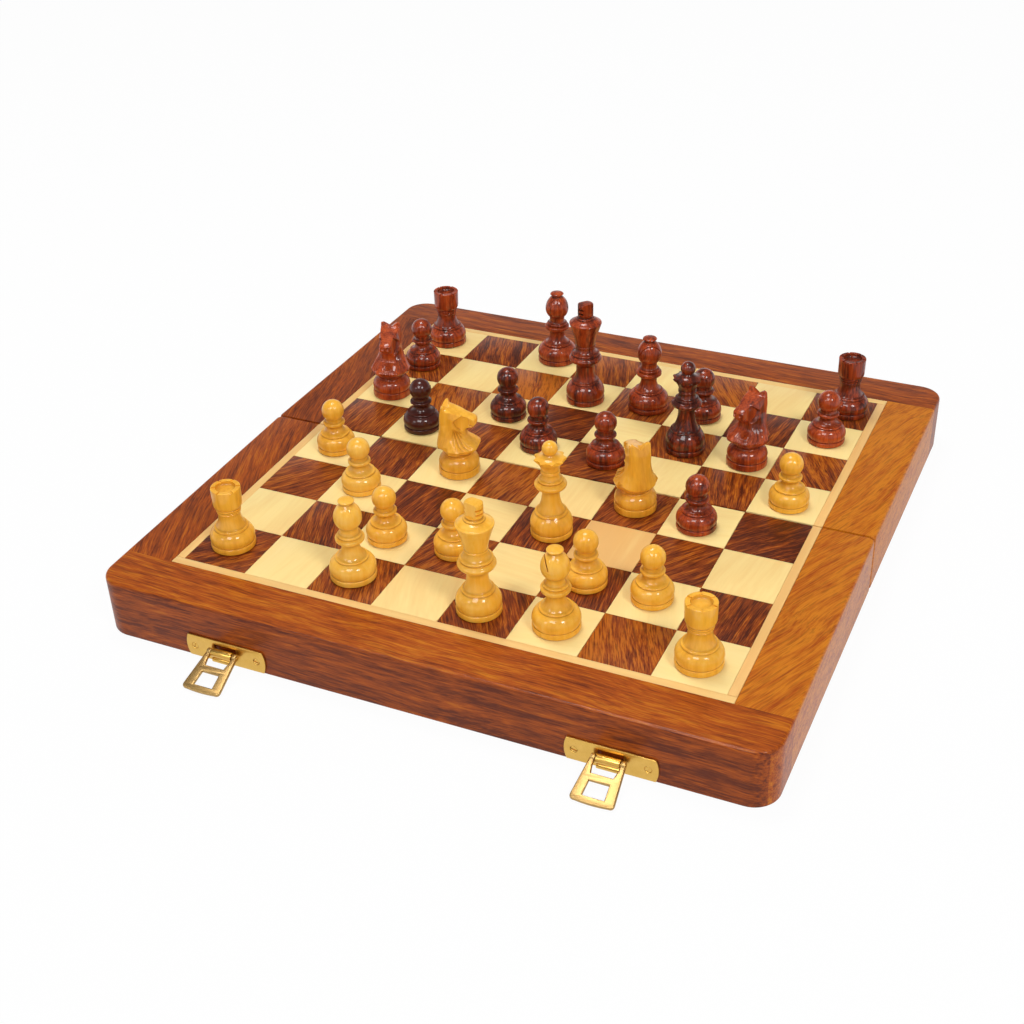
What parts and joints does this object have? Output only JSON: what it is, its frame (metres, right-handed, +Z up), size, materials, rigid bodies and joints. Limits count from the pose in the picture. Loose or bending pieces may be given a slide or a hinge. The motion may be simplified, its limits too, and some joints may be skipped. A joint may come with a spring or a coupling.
{
  "type": "folding chess set",
  "caption": "Folding wooden chess board with inlaid squares, brass clasps and hinges, foam storage troughs inside and turned men standing in play on it.",
  "frame": {"origin": "on the table, below the middle of the fold", "axes": "+X along the near edge to the right, +Y from the near half to the far half, +Z up"},
  "size_m": [0.3054, 0.3329, 0.0834],
  "materials": {
    "border_wood": "gloss lacquer",
    "light_veneer": "gloss lacquer",
    "dark_veneer": "gloss lacquer",
    "panel_wood": "matte",
    "steel": "plain",
    "foam": "matte",
    "brass": "polished",
    "boxwood": "gloss lacquer",
    "rosewood": "gloss lacquer"
  },
  "bodies": {
    "near_half": {"outer_rail_near": "border_wood", "side_rails_near": "border_wood", "fold_rail_near": "border_wood", "inlay_strips_near": "light_veneer", "light_squares_near": "light_veneer", "dark_squares_near": "dark_veneer", "steel_sheet_near": "steel", "backing_panel_near": "panel_wood", "foam_insert_near": "foam", "hinge_leaves_near": "brass", "hinge_pins": "brass", "screws_near": "brass", "clasp_plates": "brass", "clasp_pins": "brass"},
    "far_half": {"outer_rail_far": "border_wood", "side_rails_far": "border_wood", "fold_rail_far": "border_wood", "inlay_strips_far": "light_veneer", "light_squares_far": "light_veneer", "dark_squares_far": "dark_veneer", "steel_sheet_far": "steel", "backing_panel_far": "panel_wood", "foam_insert_far": "foam", "hinge_leaves_far": "brass", "screws_far": "brass", "catch_plates": "brass"},
    "clasp_loop_left": {"clasp_loop_left": "brass"},
    "clasp_loop_right": {"clasp_loop_right": "brass"},
    "light_rook_a": {"light_rook_a": "boxwood"},
    "light_rook_h": {"light_rook_h": "boxwood"},
    "light_knight_b": {"light_knight_b": "boxwood"},
    "light_knight_g": {"light_knight_g": "boxwood"},
    "light_bishop_c": {"light_bishop_c": "boxwood"},
    "light_bishop_f": {"light_bishop_f": "boxwood"},
    "light_queen": {"light_queen": "boxwood"},
    "light_king": {"light_king": "boxwood"},
    "light_pawn_a": {"light_pawn_a": "boxwood"},
    "light_pawn_b": {"light_pawn_b": "boxwood"},
    "light_pawn_c": {"light_pawn_c": "boxwood"},
    "light_pawn_d": {"light_pawn_d": "boxwood"},
    "light_pawn_f": {"light_pawn_f": "boxwood"},
    "light_pawn_g": {"light_pawn_g": "boxwood"},
    "light_pawn_h": {"light_pawn_h": "boxwood"},
    "dark_rook_a": {"dark_rook_a": "rosewood"},
    "dark_rook_h": {"dark_rook_h": "rosewood"},
    "dark_knight_b": {"dark_knight_b": "rosewood"},
    "dark_knight_g": {"dark_knight_g": "rosewood"},
    "dark_bishop_c": {"dark_bishop_c": "rosewood"},
    "dark_bishop_f": {"dark_bishop_f": "rosewood"},
    "dark_queen": {"dark_queen": "rosewood"},
    "dark_king": {"dark_king": "rosewood"},
    "dark_pawn_a": {"dark_pawn_a": "rosewood"},
    "dark_pawn_b": {"dark_pawn_b": "rosewood"},
    "dark_pawn_c": {"dark_pawn_c": "rosewood"},
    "dark_pawn_d": {"dark_pawn_d": "rosewood"},
    "dark_pawn_e": {"dark_pawn_e": "rosewood"},
    "dark_pawn_f": {"dark_pawn_f": "rosewood"},
    "dark_pawn_g": {"dark_pawn_g": "rosewood"},
    "dark_pawn_h": {"dark_pawn_h": "rosewood"},
    "light_pawn_e": {"light_pawn_e": "boxwood"}
  },
  "joints": [
    {"name": "fold", "type": "hinge", "parent": "near_half", "child": "far_half", "pos_m": [0, 0, 0.002], "axis": [-1, 0, 0], "range_deg": [-1.66, 178.34]},
    {"name": "clasp_left", "type": "hinge", "parent": "near_half", "child": "clasp_loop_left", "pos_m": [-0.088, -0.15579, 0.00734], "axis": [-1, 0, 0], "range_deg": [-72.06, 104]},
    {"name": "clasp_right", "type": "hinge", "parent": "near_half", "child": "clasp_loop_right", "pos_m": [0.088, -0.15579, 0.00734], "axis": [-1, 0, 0], "range_deg": [-72.06, 104]},
    {"name": "lift_light_rook_a", "type": "slide", "parent": "near_half", "child": "light_rook_a", "axis": [0, -0.0145, 0.9999], "range_m": [0, 0.08]},
    {"name": "lift_light_rook_h", "type": "slide", "parent": "near_half", "child": "light_rook_h", "axis": [0, -0.0145, 0.9999], "range_m": [0, 0.08]},
    {"name": "lift_light_knight_b", "type": "slide", "parent": "near_half", "child": "light_knight_b", "axis": [0, -0.0145, 0.9999], "range_m": [0, 0.08]},
    {"name": "lift_light_knight_g", "type": "slide", "parent": "near_half", "child": "light_knight_g", "axis": [0, -0.0145, 0.9999], "range_m": [0, 0.08]},
    {"name": "lift_light_bishop_c", "type": "slide", "parent": "near_half", "child": "light_bishop_c", "axis": [0, -0.0145, 0.9999], "range_m": [0, 0.08]},
    {"name": "lift_light_bishop_f", "type": "slide", "parent": "near_half", "child": "light_bishop_f", "axis": [0, -0.0145, 0.9999], "range_m": [0, 0.08]},
    {"name": "lift_light_queen", "type": "slide", "parent": "near_half", "child": "light_queen", "axis": [0, -0.0145, 0.9999], "range_m": [0, 0.08]},
    {"name": "lift_light_king", "type": "slide", "parent": "near_half", "child": "light_king", "axis": [0, -0.0145, 0.9999], "range_m": [0, 0.08]},
    {"name": "lift_light_pawn_a", "type": "slide", "parent": "near_half", "child": "light_pawn_a", "axis": [0, -0.0145, 0.9999], "range_m": [0, 0.08]},
    {"name": "lift_light_pawn_b", "type": "slide", "parent": "near_half", "child": "light_pawn_b", "axis": [0, -0.0145, 0.9999], "range_m": [0, 0.08]},
    {"name": "lift_light_pawn_c", "type": "slide", "parent": "near_half", "child": "light_pawn_c", "axis": [0, -0.0145, 0.9999], "range_m": [0, 0.08]},
    {"name": "lift_light_pawn_d", "type": "slide", "parent": "near_half", "child": "light_pawn_d", "axis": [0, -0.0145, 0.9999], "range_m": [0, 0.08]},
    {"name": "lift_light_pawn_f", "type": "slide", "parent": "near_half", "child": "light_pawn_f", "axis": [0, -0.0145, 0.9999], "range_m": [0, 0.08]},
    {"name": "lift_light_pawn_g", "type": "slide", "parent": "near_half", "child": "light_pawn_g", "axis": [0, -0.0145, 0.9999], "range_m": [0, 0.08]},
    {"name": "lift_light_pawn_h", "type": "slide", "parent": "far_half", "child": "light_pawn_h", "axis": [0, 0.0145, 0.9999], "range_m": [0, 0.08]},
    {"name": "lift_dark_rook_a", "type": "slide", "parent": "far_half", "child": "dark_rook_a", "axis": [0, 0.0145, 0.9999], "range_m": [0, 0.08]},
    {"name": "lift_dark_rook_h", "type": "slide", "parent": "far_half", "child": "dark_rook_h", "axis": [0, 0.0145, 0.9999], "range_m": [0, 0.08]},
    {"name": "lift_dark_knight_b", "type": "slide", "parent": "far_half", "child": "dark_knight_b", "axis": [0, 0.0145, 0.9999], "range_m": [0, 0.08]},
    {"name": "lift_dark_knight_g", "type": "slide", "parent": "far_half", "child": "dark_knight_g", "axis": [0, 0.0145, 0.9999], "range_m": [0, 0.08]},
    {"name": "lift_dark_bishop_c", "type": "slide", "parent": "far_half", "child": "dark_bishop_c", "axis": [0, 0.0145, 0.9999], "range_m": [0, 0.08]},
    {"name": "lift_dark_bishop_f", "type": "slide", "parent": "far_half", "child": "dark_bishop_f", "axis": [0, 0.0145, 0.9999], "range_m": [0, 0.08]},
    {"name": "lift_dark_queen", "type": "slide", "parent": "far_half", "child": "dark_queen", "axis": [0, 0.0145, 0.9999], "range_m": [0, 0.08]},
    {"name": "lift_dark_king", "type": "slide", "parent": "far_half", "child": "dark_king", "axis": [0, 0.0145, 0.9999], "range_m": [0, 0.08]},
    {"name": "lift_dark_pawn_a", "type": "slide", "parent": "far_half", "child": "dark_pawn_a", "axis": [0, 0.0145, 0.9999], "range_m": [0, 0.08]},
    {"name": "lift_dark_pawn_b", "type": "slide", "parent": "far_half", "child": "dark_pawn_b", "axis": [0, 0.0145, 0.9999], "range_m": [0, 0.08]},
    {"name": "lift_dark_pawn_c", "type": "slide", "parent": "far_half", "child": "dark_pawn_c", "axis": [0, 0.0145, 0.9999], "range_m": [0, 0.08]},
    {"name": "lift_dark_pawn_d", "type": "slide", "parent": "far_half", "child": "dark_pawn_d", "axis": [0, 0.0145, 0.9999], "range_m": [0, 0.08]},
    {"name": "lift_dark_pawn_e", "type": "slide", "parent": "far_half", "child": "dark_pawn_e", "axis": [0, 0.0145, 0.9999], "range_m": [0, 0.08]},
    {"name": "lift_dark_pawn_f", "type": "slide", "parent": "far_half", "child": "dark_pawn_f", "axis": [0, 0.0145, 0.9999], "range_m": [0, 0.08]},
    {"name": "lift_dark_pawn_g", "type": "slide", "parent": "near_half", "child": "dark_pawn_g", "axis": [0, -0.0145, 0.9999], "range_m": [0, 0.08]},
    {"name": "lift_dark_pawn_h", "type": "slide", "parent": "far_half", "child": "dark_pawn_h", "axis": [0, 0.0145, 0.9999], "range_m": [0, 0.08]},
    {"name": "lift_light_pawn_e", "type": "slide", "parent": "near_half", "child": "light_pawn_e", "axis": [0, 0.0145, -0.9999], "range_m": [0, 0.05]}
  ]
}
